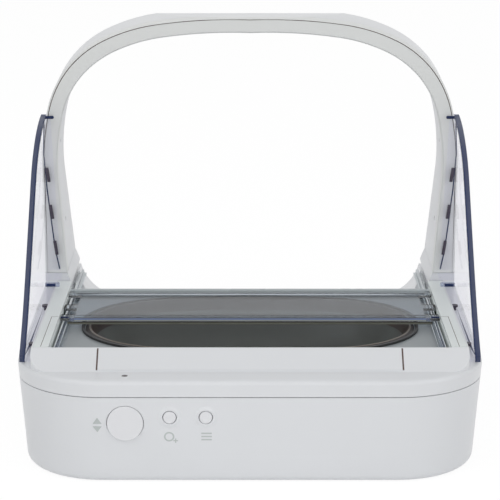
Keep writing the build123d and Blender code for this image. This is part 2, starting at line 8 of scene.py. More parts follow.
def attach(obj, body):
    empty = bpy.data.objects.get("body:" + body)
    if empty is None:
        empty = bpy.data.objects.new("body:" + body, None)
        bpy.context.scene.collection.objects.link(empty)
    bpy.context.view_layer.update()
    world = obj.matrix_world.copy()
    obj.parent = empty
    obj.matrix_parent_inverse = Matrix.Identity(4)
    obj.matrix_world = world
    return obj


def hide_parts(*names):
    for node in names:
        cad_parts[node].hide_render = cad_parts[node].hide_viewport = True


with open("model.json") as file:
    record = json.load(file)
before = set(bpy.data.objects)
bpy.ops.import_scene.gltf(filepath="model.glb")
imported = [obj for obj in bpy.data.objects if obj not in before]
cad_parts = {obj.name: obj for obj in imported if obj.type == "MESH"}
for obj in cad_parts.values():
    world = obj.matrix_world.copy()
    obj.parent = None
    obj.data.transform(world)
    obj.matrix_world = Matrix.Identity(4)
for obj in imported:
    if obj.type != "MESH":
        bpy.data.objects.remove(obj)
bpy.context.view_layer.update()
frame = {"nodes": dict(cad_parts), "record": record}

mm = 0.001

# the view: camera pitched down on the button side, picture taken as 500 px square
view = {"pitchDeg": 15.0, "focalPx": 2150.0, "framePx": 500.0, "sensorMm": 36.0,
        "place": (0.0, -1133.9 * mm, 378.8 * mm)}

# the deck plane that the lid, tray and strips lie in, as in the frame's own geometry
deck = {"y": -132.0, "z": 61.0, "fallDeg": 3.0}
deckMatrix = (Matrix.Translation((0, deck["y"] * mm, deck["z"] * mm))
              @ Matrix.Rotation(-radians(deck["fallDeg"]), 4, "X"))


def onDeck(x, s, t):
    return deckMatrix @ Vector((x * mm, s * mm, t * mm))


def toLinear(hexColour):
    parts = [int(hexColour[i:i + 2], 16) / 255 for i in (1, 3, 5)]
    return [p / 12.92 if p <= 0.04045 else ((p + 0.055) / 1.055) ** 2.4 for p in parts] + [1.0]


def addNode(tree, kind, settings=None, links=None, **inputs):
    node = tree.nodes.new(kind)
    for name, value in (settings or {}).items():
        setattr(node, name, value)
    for name, value in inputs.items():
        node.inputs[name.replace("_", " ")].default_value = value
    for name, source in (links or {}).items():
        tree.links.new(source, node.inputs[name])
    return node


def newMaterial(name):
    material = bpy.data.materials.new(name)
    material.use_nodes = True
    material.node_tree.nodes.clear()
    return material, material.node_tree


# plastics: a fine spark-eroded mould texture, faint flow variation and slightly duller patches
def mouldedPlastic(name, colour, rough=0.32, grainMm=0.35, grain=0.10, vary=0.03, ior=1.5):
    material, tree = newMaterial(name)
    where = addNode(tree, "ShaderNodeTexCoord")
    fine = addNode(tree, "ShaderNodeTexNoise", None, {"Vector": where.outputs["Object"]},
                   Scale=1 / (grainMm * mm), Detail=2.0, Roughness=0.6)
    broad = addNode(tree, "ShaderNodeTexNoise", None, {"Vector": where.outputs["Object"]},
                    Scale=1 / (38 * mm), Detail=3.0, Roughness=0.5)
    base = toLinear(colour)
    dim = [c * (1 - vary) for c in base[:3]] + [1.0]
    tone = addNode(tree, "ShaderNodeMix", {"data_type": "RGBA"}, {"Factor": broad.outputs["Fac"]})
    tone.inputs[6].default_value = dim
    tone.inputs[7].default_value = base
    gloss = addNode(tree, "ShaderNodeMapRange", None, {"Value": broad.outputs["Fac"]},
                    From_Min=0.3, From_Max=0.7, To_Min=rough - 0.04, To_Max=rough + 0.05)
    bump = addNode(tree, "ShaderNodeBump", None, {"Height": fine.outputs["Fac"]}, Strength=grain, Distance=0.05 * mm)
    shader = addNode(tree, "ShaderNodeBsdfPrincipled", None,
                     {"Base Color": tone.outputs[2], "Roughness": gloss.outputs["Result"],
                      "Normal": bump.outputs["Normal"]}, IOR=ior)
    addNode(tree, "ShaderNodeOutputMaterial", None, {"Surface": shader.outputs["BSDF"]})
    return material


# clear polycarbonate, moulded in a polished tool: it mirrors more the flatter it is looked at, and a sheet
# that lies over something also lifts what is under it; lamps shine through it
def clearPolycarbonate(name, tint, shine, bends=False, rough=0.03, ripple=0.03):
    material, tree = newMaterial(name)
    where = addNode(tree, "ShaderNodeTexCoord")
    wave = addNode(tree, "ShaderNodeTexNoise", None, {"Vector": where.outputs["Object"]},
                   Scale=1 / (30 * mm), Detail=1.0)
    haze = addNode(tree, "ShaderNodeMapRange", None, {"Value": wave.outputs["Fac"]},
                   From_Min=0.3, From_Max=0.7, To_Min=rough, To_Max=rough * 2)
    bump = addNode(tree, "ShaderNodeBump", None, {"Height": wave.outputs["Fac"]}, Strength=ripple, Distance=0.3 * mm)
    through = addNode(tree, "ShaderNodeBsdfTransparent", None, None, Color=toLinear(tint))
    if bends:
        rays = addNode(tree, "ShaderNodeLightPath")
        bent = addNode(tree, "ShaderNodeBsdfRefraction", None, None, Color=toLinear(tint), Roughness=0.0, IOR=1.45)
        straight, through = through, addNode(tree, "ShaderNodeMixShader", None, {0: rays.outputs["Is Shadow Ray"]})
        tree.links.new(bent.outputs[0], through.inputs[1])
        tree.links.new(straight.outputs[0], through.inputs[2])
    angle = addNode(tree, "ShaderNodeLayerWeight", None, None, Blend=0.5)
    rise = addNode(tree, "ShaderNodeMath", {"operation": "POWER"}, {0: angle.outputs["Facing"]})
    rise.inputs[1].default_value = 5.0
    share = addNode(tree, "ShaderNodeMapRange", None, {"Value": rise.outputs[0]}, To_Min=0.04 * shine, To_Max=shine)
    mirror = addNode(tree, "ShaderNodeBsdfGlossy", None,
                     {"Roughness": haze.outputs["Result"], "Normal": bump.outputs["Normal"]}, Color=(1, 1, 1, 1))
    mixed = addNode(tree, "ShaderNodeMixShader", None, {0: share.outputs["Result"]})
    tree.links.new(through.outputs[0], mixed.inputs[1])
    tree.links.new(mirror.outputs[0], mixed.inputs[2])
    addNode(tree, "ShaderNodeOutputMaterial", None, {"Surface": mixed.outputs[0]})
    return material


# the sheet's cut edges: light that runs along inside leaves there, so they look filled and coloured
def sheetEdge(name, tint, squareOn, glancing, rough=0.1, ripple=0.05):
    material, tree = newMaterial(name)
    where = addNode(tree, "ShaderNodeTexCoord")
    wave = addNode(tree, "ShaderNodeTexNoise", None, {"Vector": where.outputs["Object"]},
                   Scale=1 / (22 * mm), Detail=1.0)
    haze = addNode(tree, "ShaderNodeMapRange", None, {"Value": wave.outputs["Fac"]},
                   From_Min=0.3, From_Max=0.7, To_Min=rough, To_Max=rough * 2)
    bump = addNode(tree, "ShaderNodeBump", None, {"Height": wave.outputs["Fac"]}, Strength=ripple, Distance=0.3 * mm)
    angle = addNode(tree, "ShaderNodeLayerWeight", None, None, Blend=0.5)
    cover = addNode(tree, "ShaderNodeMapRange", None, {"Value": angle.outputs["Facing"]},
                    To_Min=squareOn, To_Max=glancing)
    shader = addNode(tree, "ShaderNodeBsdfPrincipled", None,
                     {"Normal": bump.outputs["Normal"], "Roughness": haze.outputs["Result"],
                      "Alpha": cover.outputs["Result"]}, Base_Color=toLinear(tint), IOR=1.3)
    addNode(tree, "ShaderNodeOutputMaterial", None, {"Surface": shader.outputs["BSDF"]})
    return material


# metals: default IOR, drawn or plated finish
def metal(name, colour, rough=0.3, grainMm=0.4):
    material, tree = newMaterial(name)
    where = addNode(tree, "ShaderNodeTexCoord")
    scratch = addNode(tree, "ShaderNodeTexNoise", None, {"Vector": where.outputs["Object"]},
                      Scale=1 / (grainMm * mm), Detail=3.0)
    gloss = addNode(tree, "ShaderNodeMapRange", None, {"Value": scratch.outputs["Fac"]},
                    From_Min=0.3, From_Max=0.7, To_Min=rough - 0.06, To_Max=rough + 0.08)
    shader = addNode(tree, "ShaderNodeBsdfPrincipled", None, {"Roughness": gloss.outputs["Result"]},
                     Base_Color=toLinear(colour), Metallic=1.0)
    addNode(tree, "ShaderNodeOutputMaterial", None, {"Surface": shader.outputs["BSDF"]})
    return material


finishes = {
    "white_abs": mouldedPlastic("whiteAbsMoulded", "#E3E5E8"),
    "pale_grey_abs": mouldedPlastic("paleGreyAbsMoulded", "#E8EEED", rough=0.38),
    "grey_abs": mouldedPlastic("greyAbsMoulded", "#8F9598", rough=0.42),
    "clear_polycarbonate": clearPolycarbonate("polycarbonateClear", "#FDFDFF", 0.3),
    "bowl_plastic": mouldedPlastic("darkGreyPolypropyleneMoulded", "#575751", rough=0.34, grain=0.16, vary=0.10),
    "rubber": mouldedPlastic("blackRubberMoulded", "#2A2B2C", rough=0.62, grain=0.3),
    "button_white": mouldedPlastic("whiteAbsPolished", "#E6E7EA", rough=0.24, grain=0.03),
    "steel": metal("zincPlatedSteel", "#B9BBBD"),
    "dark_screw": metal("blackenedSteel", "#4C4852", rough=0.42),
    "acetal": mouldedPlastic("acetalMoulded", "#E4E3DC", rough=0.34, grain=0.05),
    "copper": metal("enamelledCopperWire", "#A85B32", rough=0.34),
    "circuit_board": mouldedPlastic("glassEpoxyGreenMask", "#1E5B36", rough=0.3),
    "black_plastic": mouldedPlastic("blackNylonMoulded", "#26272A", rough=0.4),
    "lens": mouldedPlastic("smokedAcrylicLens", "#3C2A2A", rough=0.12, grain=0.0),
    "cell_jacket": mouldedPlastic("printedSteelJacket", "#5A5E62", rough=0.3),
}
# light that runs along inside a clear sheet leaves at its cut edges, where it looks navy
navyEdge = sheetEdge("polycarbonateEdgeNavy", "#243156", 0.94, 0.98, rough=0.3)
blueEdge = sheetEdge("polycarbonateEdgeBlue", "#94A3C8", 0.9, 0.96, rough=0.25)
paleEdge = sheetEdge("polycarbonateEdgePale", "#8C9BC0", 0.35, 0.55)
oliveEdge = sheetEdge("polycarbonateEdgeOlive", "#7E7F75", 0.85, 0.9, rough=0.2)
glintEdge = sheetEdge("polycarbonateEdgeGlint", "#C9CDC6", 0.75, 0.85)
# the guide rails, whose many small faces would sparkle if they mirrored as much as the panels
railSheet = clearPolycarbonate("polycarbonateRail", "#F8FAFC", 0.22)
# the lid's leaves, which lie over the bowl and lift its picture
lidSheet = clearPolycarbonate("polycarbonateLid", "#F3F5F7", 0.37, bends=True)
# the rails' hidden run over the nose has an eroded mould texture, which frosts it
frosted = mouldedPlastic("polycarbonateFrosted", "#DDE2E4", rough=0.5, grain=0.25)
# pad print: a thin flat ink a little darker than the plastic under it
padPrint = mouldedPlastic("greyPadPrintInk", "#BFC5C4", rough=0.55, grain=0.0, vary=0.02)
# painted shade: dark brown strips set in the joints between two mouldings, where shade falls
jointShade = mouldedPlastic("jointShadeBrown", "#5E4A46", rough=0.8, grain=0.0, vary=0.15)

# the bowl: lit and shaded copies of one warm grey, as painted light: a painted shadow under the rim, a painted
# highlight along the bead and painted shade down the inner wall, round a cooler grey basin
bowlWallPaintedShade = mouldedPlastic("bowlWallShadePainted", "#453A33", rough=0.5, grain=0.1, vary=0.12)
bowlBeadPaintedHighlight = mouldedPlastic("bowlBeadHighlightPainted", "#635A51", rough=0.4, grain=0.0)
bowlRimPaintedShadow = mouldedPlastic("bowlRimShadowPainted", "#1E1816", rough=0.6, grain=0.0)
hoopGrey = mouldedPlastic("greyWhiteAbsMoulded", "#E5E7E6", rough=0.38)
barGrey = mouldedPlastic("greyAcetalExtruded", "#AEB6B9", rough=0.3, grain=0.0)

slotOf = {part["node"]: part["material_slot"] for part in frame["record"]["subparts"]}
finishOf = {"hoop_rear_shell": hoopGrey, "rear_leaf": lidSheet, "front_leaf": lidSheet, "lid_bar": barGrey,
            "lid_guide_left": railSheet, "lid_guide_right": railSheet}
for name, node in frame["nodes"].items():
    node.data.materials.clear()
    node.data.materials.append(finishOf.get(name, finishes[slotOf[name]]))
print("materials on", len(frame["nodes"]), "nodes")


# the camera comes first, as the view that the rest is looked at from
def makeCamera():
    data = bpy.data.cameras.new("camera")
    data.sensor_width = view["sensorMm"]
    data.lens = view["focalPx"] / view["framePx"] * view["sensorMm"]
    camera = bpy.data.objects.new("camera", data)
    bpy.context.collection.objects.link(camera)
    camera.location = view["place"]
    camera.rotation_euler = (radians(90 - view["pitchDeg"]), 0, 0)
    bpy.context.scene.camera = camera


makeCamera()


# shared mesh work --------------------------------------------------------------

def addPiece(name, mesh, finish, body, bevelMm=0.0, stands=(), smoothDeg=35):
    piece = bpy.data.objects.new(name, mesh)
    bpy.context.collection.objects.link(piece)
    mesh.materials.append(finish)
    for polygon in mesh.polygons:
        polygon.use_smooth = True
    if bevelMm:
        bevel = piece.modifiers.new("softEdges", "BEVEL")
        bevel.width = bevelMm * mm
        bevel.segments = 2
        bevel.limit_method = "ANGLE"
        bevel.angle_limit = radians(smoothDeg)
        bevel.harden_normals = False
    mesh.set_sharp_from_angle(angle=radians(smoothDeg))
    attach(piece, body)
    if stands:
        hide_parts(*stands)
    return piece


def meshFrom(name, points, faces):
    mesh = bpy.data.meshes.new(name)
    mesh.from_pydata([tuple(p) for p in points], [], faces)
    work = bmesh.new()
    work.from_mesh(mesh)
    bmesh.ops.remove_doubles(work, verts=work.verts, dist=0.001 * mm)
    bmesh.ops.recalc_face_normals(work, faces=work.faces)
    work.to_mesh(mesh)
    work.free()
    return mesh


# rings of equally many points, joined one to the next; ends closed or the last joined to the first
def loftMesh(name, rings, closeEnds=True, closeLoop=False):
    count = len(rings[0])
    points = [p for ring in rings for p in ring]
    faces = []
    last = len(rings) if closeLoop else len(rings) - 1
    for i in range(last):
        a, b = i * count, (i + 1) % len(rings) * count
        faces += [(a + j, a + (j + 1) % count, b + (j + 1) % count, b + j) for j in range(count)]
    if closeEnds and not closeLoop:
        faces += [tuple(range(count))[::-1], tuple((len(rings) - 1) * count + j for j in range(count))]
    return meshFrom(name, points, faces)


# flat outline given thickness: place maps (u, v, depth) in millimetres to a point in metres
def plateMesh(name, outlines, depth0, depth1, place):
    points, faces = [], []
    for outline in outlines:
        start, count = len(points), len(outline)
        points += [place(u, v, depth0) for u, v in outline] + [place(u, v, depth1) for u, v in outline]
        faces += [tuple(start + j for j in range(count))[::-1], tuple(start + count + j for j in range(count))]
        faces += [(start + j, start + (j + 1) % count, start + count + (j + 1) % count, start + count + j)
                  for j in range(count)]
    return meshFrom(name, points, faces)


def rectangle(u0, u1, v0, v1):
    return [(u0, v0), (u1, v0), (u1, v1), (u0, v1)]


def disc(u, v, radius, steps=28):
    return [(u + radius * cos(2 * pi * i / steps), v + radius * sin(2 * pi * i / steps)) for i in range(steps)]


# a second finish on the faces of a frame node that a test picks
def finishFaces(name, finish, test):
    mesh = frame["nodes"][name].data
    mesh.materials.append(finish)
    index = len(mesh.materials) - 1
    for polygon in mesh.polygons:
        if test(polygon.normal, polygon.center / mm):
            polygon.material_index = index


# bowl --------------------------------------------------------------------------

bowl = {"halfW": 85.0, "halfL": 54.0, "endR": 50.0, "s": 64.0, "rimT": -4.3, "steps": 96,
        "outer": [(-19.0, -30.6), (-13.0, -28.6), (-8.6, -24.0), (-6.0, -17.0), (-3.6, -8.0), (-2.6, -1.5), (-1.0, -1.2),
                  (0.0, -1.15), (0.0, -1.0)],
        "shade": [(-0.4, -0.85), (-1.8, -0.35)],
        "bead": [(-2.1, -0.08), (-2.4, -0.02), (-2.7, -0.12)],
        "lip": [(-3.0, -0.6), (-4.2, -3.4), (-5.4, -6.2)],
        "basin": [(-6.4, -7.4), (-10.5, -14.0), (-16.0, -21.0), (-23.0, -26.0), (-31.0, -28.4), (-38.0, -28.8)]}


# four-centre oval: points go round by equal angle steps of the arcs
def ovalPoints(grow, steps):
    halfW, halfL, endR = bowl["halfW"] + grow, bowl["halfL"] + grow, bowl["endR"] + grow
    centre = halfW - endR
    sideR = (centre ** 2 + halfL ** 2 - endR ** 2) / (2 * (halfL - endR))
    reachT = endR / (sideR - endR)
    meetX, meetY = centre + centre * reachT, (sideR - halfL) * reachT
    points = []
    for i in range(steps):
        turn = 2 * pi * i / steps
        c, s = cos(turn), sin(turn)
        if abs(s) * meetX < abs(c) * meetY:    # the ray leaves through an end arc
            away = centre * abs(c)
            reach = away + sqrt(away ** 2 - centre ** 2 + endR ** 2)
        else:
            drop = (sideR - halfL) * abs(s)
            reach = -drop + sqrt(drop ** 2 + sideR ** 2 - (sideR - halfL) ** 2)
        points.append((reach * c, reach * s))
    return points


def makeBowl():
    rings, bands = [], []
    for band in ("outer", "shade", "bead", "lip", "basin"):
        for grow, t in bowl[band]:
            rings.append([onDeck(x, bowl["s"] + y, bowl["rimT"] + t) for x, y in ovalPoints(grow, bowl["steps"])])
            bands.append(("outer", "shade", "bead", "lip", "basin").index(band))
    mesh = loftMesh("feedingBowl", rings)
    piece = addPiece("feedingBowl", mesh, finishes["bowl_plastic"], "housing", stands=("bowl",),
                     smoothDeg=60)
    # painted light on the bands: shadow under the rim, highlight along the bead, shade on the inner wall
    for finish in (bowlRimPaintedShadow, bowlBeadPaintedHighlight, bowlWallPaintedShade):
        mesh.materials.append(finish)
    # the lofted rings' faces come in order, one band of faces from each ring to the next
    for polygon in mesh.polygons:
        ring = polygon.index // bowl["steps"]
        if polygon.index < (len(rings) - 1) * bowl["steps"]:
            polygon.material_index = {1: 1, 2: 2, 3: 3}.get(bands[ring + 1], 0)
    return piece


makeBowl()
print("bowl")


# printed marks on the button side ------------------------------------------------

face = {"topY": -160.2, "topZ": 53.0, "draftDeg": 4.5}


def onFace(x, z, lift):
    return Vector((x, face["topY"] + (face["topZ"] - z) * tan(radians(face["draftDeg"])) - lift, z)) * mm


marks = {"arrowX": -73.4, "arrowHalfW": 2.2, "upZ": (31.0, 34.1), "downZ": (29.7, 26.7),
         "tag": (-38.9, 24.3), "tagR": (2.5, 1.75), "plus": (-35.8, 22.2), "plusR": 1.15, "stroke": 0.28,
         "bars": (-20.9, 24.4), "barHalfW": 2.5, "barGap": 1.65, "barHalfH": 0.36}


def makeMarks():
    x, half = marks["arrowX"], marks["arrowHalfW"]
    outlines = []
    for base, tip in (marks["upZ"], marks["downZ"]):
        outlines.append([(x - half, base), (x + half, base), (x, tip)])
    # ring cut into quarter pieces, so that each outline is a plain polygon
    cx, cz = marks["tag"]
    outer, inner = marks["tagR"]
    for quarter in range(4):
        turns = [pi / 2 * (quarter + k / 8) for k in range(9)]
        outlines.append([(cx + outer * cos(a), cz + outer * sin(a)) for a in turns]
                        + [(cx + inner * cos(a), cz + inner * sin(a)) for a in turns[::-1]])
    px, pz = marks["plus"]
    arm, stroke = marks["plusR"], marks["stroke"]
    outlines.append([(px - arm, pz - stroke), (px - stroke, pz - stroke), (px - stroke, pz - arm),
                     (px + stroke, pz - arm), (px + stroke, pz - stroke), (px + arm, pz - stroke),
                     (px + arm, pz + stroke), (px + stroke, pz + stroke), (px + stroke, pz + arm),
                     (px - stroke, pz + arm), (px - stroke, pz + stroke), (px - arm, pz + stroke)])
    bx, bz = marks["bars"]
    for row in (-1, 0, 1):
        z = bz + row * marks["barGap"]
        outlines.append(rectangle(bx - marks["barHalfW"], bx + marks["barHalfW"], z - marks["barHalfH"],
                                  z + marks["barHalfH"]))
    mesh = plateMesh("printedMarks", outlines, -0.05, 0.03, onFace)
    addPiece("printedMarks", mesh, padPrint, "housing")


makeMarks()
print("printed marks")


# shade in the joints --------------------------------------------------------------

hoop = {"halfW": 113.5, "springZ": 110.0, "top": 200.0, "power": 3.05, "rearY": 15.0, "footZ": 58.0,
        "grooveIn": (0.8, 1.2), "steps": 64}


def hoopLine(inset, footZ):
    halfW, rise = hoop["halfW"] - inset, hoop["top"] - hoop["springZ"] - inset
    points = [(halfW, footZ)]
    for i in range(hoop["steps"] + 1):
        c, s = cos(pi * i / hoop["steps"]), abs(sin(pi * i / hoop["steps"]))
        x = halfW * abs(c) ** (2 / hoop["power"]) * (1 if c > 0 else -1)
        points.append((x, hoop["springZ"] + rise * s ** (2 / hoop["power"])))
    return points + [(-halfW, footZ)]


# painted shade: a thin dark strip set just below the surface in the hoop's joint line
def makeHoopJoint():
    outer, inner = (hoopLine(inset, hoop["footZ"] + 1) for inset in hoop["grooveIn"])
    count = len(outer)
    points = [Vector((x, hoop["rearY"] + 0.35, z)) * mm for x, z in outer + inner]
    points += [Vector((x, hoop["rearY"] + 0.45, z)) * mm for x, z in outer + inner]
    faces = []
    for i in range(count - 1):
        faces.append((i, i + 1, count + i + 1, count + i))
        faces.append((2 * count + i, 3 * count + i, 3 * count + i + 1, 2 * count + i + 1))
        faces.append((i, 2 * count + i, 2 * count + i + 1, i + 1))
        faces.append((count + i, count + i + 1, 3 * count + i + 1, 3 * count + i))
    faces += [(0, count, 3 * count, 2 * count), (count - 1, 3 * count - 1, 4 * count - 1, 2 * count - 1)]
    mesh = meshFrom("hoopJoint", points, faces)
    addPiece("hoopJoint", mesh, jointShade, "housing")


makeHoopJoint()


# painted shade: dark strips in the joints either side of the hump's centre panel; dark plugs in the hoop's small
# holes
slit = {"x": 74.25, "halfW": 0.46, "line": ((-143.9, 53.28), (-132.4, 60.74)), "sink": (-0.02, 0.5)}
plugs = {"y": 35.0, "radius": 1.25, "places": ((103.3, 84.0), (104.9, 129.0)), "sink": (0.25, 1.0)}


def makeSlits():
    (y0, z0), (y1, z1) = slit["line"]
    long = sqrt((y1 - y0) ** 2 + (z1 - z0) ** 2)
    away = Vector((0, -(z1 - z0) / long, (y1 - y0) / long))
    start, run = Vector((0, y0, z0)), Vector((0, y1 - y0, z1 - z0))
    for side, sign in (("left", -1), ("right", 1)):
        x = sign * slit["x"]
        outline = rectangle(x - slit["halfW"], x + slit["halfW"], 0.0, 1.0)
        mesh = plateMesh("humpJoint_" + side, [outline], slit["sink"][0], slit["sink"][1],
                         lambda u, v, depth: (Vector((u, 0, 0)) + start + run * v - away * depth) * mm)
        addPiece("humpJoint_" + side, mesh, jointShade, "housing")


def makePlugs():
    for side, sign in (("left", -1), ("right", 1)):
        for level, (x, z) in zip(("low", "high"), plugs["places"]):
            mesh = plateMesh("hoopPlug_" + side + "_" + level, [disc(plugs["y"], z, plugs["radius"])],
                             x + plugs["sink"][0], x + plugs["sink"][1],
                             lambda u, v, depth: Vector((sign * depth, u, v)) * mm)
            addPiece("hoopPlug_" + side + "_" + level, mesh, finishes["rubber"], "housing", bevelMm=0.15)


makeSlits()
makePlugs()
print("slits and plugs")


# soft raised bezels round the two small buttons ------------------------------------

bezel = {"places": ((-38.6, 34.4), (-21.2, 34.4)), "steps": 48,
         "profile": [(3.42, -0.6), (3.42, 0.28), (3.6, 0.42), (3.95, 0.48), (4.4, 0.40), (4.9, 0.22), (5.4, 0.07),
                     (5.9, -0.03), (5.9, -0.6)]}


def makeBezels():
    for name, (x, z) in zip(("modeBezel", "functionBezel"), bezel["places"]):
        rings = [[onFace(x + radius * cos(2 * pi * i / bezel["steps"]), z + radius * sin(2 * pi * i / bezel["steps"]),
                         lift) for i in range(bezel["steps"])] for radius, lift in bezel["profile"]]
        addPiece(name, loftMesh(name, rings, closeLoop=True), finishes["white_abs"], "housing",
                 smoothDeg=60)


makeBezels()
print("bezels")


# skirt: the tub's foot rim, which squares off its rounded bottom and fades out towards the nose ----------------

skirt = {"topZ": 53.0, "halfW": 115.25, "rearY": -160.2, "frontY": 166.9, "rearR": 44.0, "frontR": 58.0,
         "draftDeg": 4.5, "floorZ": 0.25, "roundR": 3.6, "reachZ": 19.0, "lipMm": 6.0, "liftZ": 4.6,
         "fadeFrom": 45.0, "fadeTo": 118.0, "cadFloorZ": 1.2, "cadRoundR": 15.0, "corner": 20}


# the tub's plan at a height: the near corners and sides, from the far left round the near edge to the far right
def skirtPlan(z, inset):
    flare = (skirt["topZ"] - z) * tan(radians(skirt["draftDeg"])) + inset
    halfW, rear, radius = skirt["halfW"] - flare, skirt["rearY"] + flare, skirt["rearR"] - flare
    points = []
    for i in range(12):
        points.append((-halfW, skirt["fadeTo"] - (skirt["fadeTo"] - rear - radius) * i / 12, i))
    for i in range(skirt["corner"] + 1):
        turn = pi + pi / 2 * i / skirt["corner"]
        points.append((-halfW + radius + radius * cos(turn), rear + radius + radius * sin(turn), i))
    left = [(x, y) for x, y, i in points]
    return left + [(-x, y) for x, y in left[::-1]]


def fadeAt(y):
    part = min(max((y - skirt["fadeFrom"]) / (skirt["fadeTo"] - skirt["fadeFrom"]), 0), 1)
    return part * part * (3 - 2 * part)


def makeSkirt():
    arc = [(1 - cos(pi / 2 * k / 6), 1 - sin(pi / 2 * k / 6)) for k in range(7)]
    count = len(skirtPlan(10, 0))
    columns = []
    for j in range(count):
        y = skirtPlan(10, 0)[j][1]
        fade = fadeAt(y)
        roundR = skirt["roundR"] + (skirt["cadRoundR"] - skirt["roundR"]) * fade
        floorZ = skirt["floorZ"] + (skirt["cadFloorZ"] + 0.15 - skirt["floorZ"]) * fade
        column = []
        for z in (skirt["reachZ"], floorZ + roundR + (skirt["reachZ"] - floorZ - roundR) * 0.5):
            column.append((z, -0.02 * (1 - fade) + 0.1 * fade if z < skirt["reachZ"] else 0.06))
        for inset, down in arc:
            column.append((floorZ + roundR * down, inset * roundR - 0.02 * (1 - fade) + 0.1 * fade))
        lip = max(skirt["lipMm"], roundR + 0.6)
        column.append((floorZ, lip))
        column.append((skirt["liftZ"] + 1.5 * fade, lip))
        column.append((skirt["liftZ"] + 4.0, skirt["lipMm"] - 2.6))
        column.append((skirt["reachZ"] - 0.3, 1.2))
        columns.append([Vector((*skirtPlan(z, inset)[j], z)) * mm for z, inset in column])
    mesh = loftMesh("tubSkirt", columns)
    addPiece("tubSkirt", mesh, finishes["white_abs"], "housing", smoothDeg=50)


makeSkirt()
print("skirt")


# clear parts: navy where light leaves a cut edge -----------------------------------

liner = {"s": (1.2, 137.0), "x": (98.15, 98.58), "t": (-8.5, -1.15)}
sill = {"s": (2.0, 157.0), "x": (96.42, 96.85), "t": (-3.9, -2.3)}
tie = {"x": (103.4, 111.3), "y": (-11.6, -9.8), "z": (57.3, 59.4), "middle": (105.6, 110.6)}
hook = {"x": (106.6, 112.4), "y": (11.6, 13.1), "z": (145.4, 147.0)}
clips = {"at": ((107.1, 73.0), (109.0, 93.4), (110.5, 114.2)), "halfW": 0.85, "halfH": 3.9, "lean": 0.55,
         "y": (11.6, 13.15)}
# the front flange's cut edge, from the top hook down to the foot
flange = {"line": ((112.0, 144.5), (112.6, 126.0), (112.2, 120.5), (111.2, 106.0), (109.3, 88.0), (107.4, 71.0),
                   (105.3, 60.6)), "halfW": 0.32, "y": (12.95, 13.3)}
seam = {"x": (102.3, 102.55), "s": (1.1, 62.6), "t": (0.18, 0.275), "cross": (98.7, 102.5), "crossS": (62.4, 62.65)}
# coloured lines along the near edges of the two leaves: height across the deck, finish, body
edgeLines = (("leafEdgeBlue", (-1.4, -0.5), blueEdge, "rear_lid"), ("leafEdgeGlint", (-1.9, -1.5), glintEdge, "rear_lid"),
             ("leafEdgeOlive", (-3.7, -2.75), oliveEdge, "front_lid"))
leafEdge = {"halfW": 90.9, "frontHalfW": 94.3, "s": (61.9, 62.02), "wingX": (93.6, 97.9), "wingS": (61.9, 62.7), "wingT": (-0.42, 0.35),
            "bracketX": (91.1, 93.2), "bracketS": (61.9, 62.6), "bracketT": (-1.9, -0.42)}


def boxMesh(name, x, y, z, place):
    return plateMesh(name, [rectangle(x[0], x[1], y[0], y[1])], z[0], z[1], place)


def ribbonOutline(line, half):
    left, right = [], []
    for i, (u, v) in enumerate(line):
        u0, v0 = line[max(i - 1, 0)]
        u1, v1 = line[min(i + 1, len(line) - 1)]
        long = sqrt((u1 - u0) ** 2 + (v1 - v0) ** 2)
        across = ((v1 - v0) / long * half, -(u1 - u0) / long * half)
        left.append((u + across[0], v + across[1]))
        right.append((u - across[0], v - across[1]))
    return left + right[::-1]


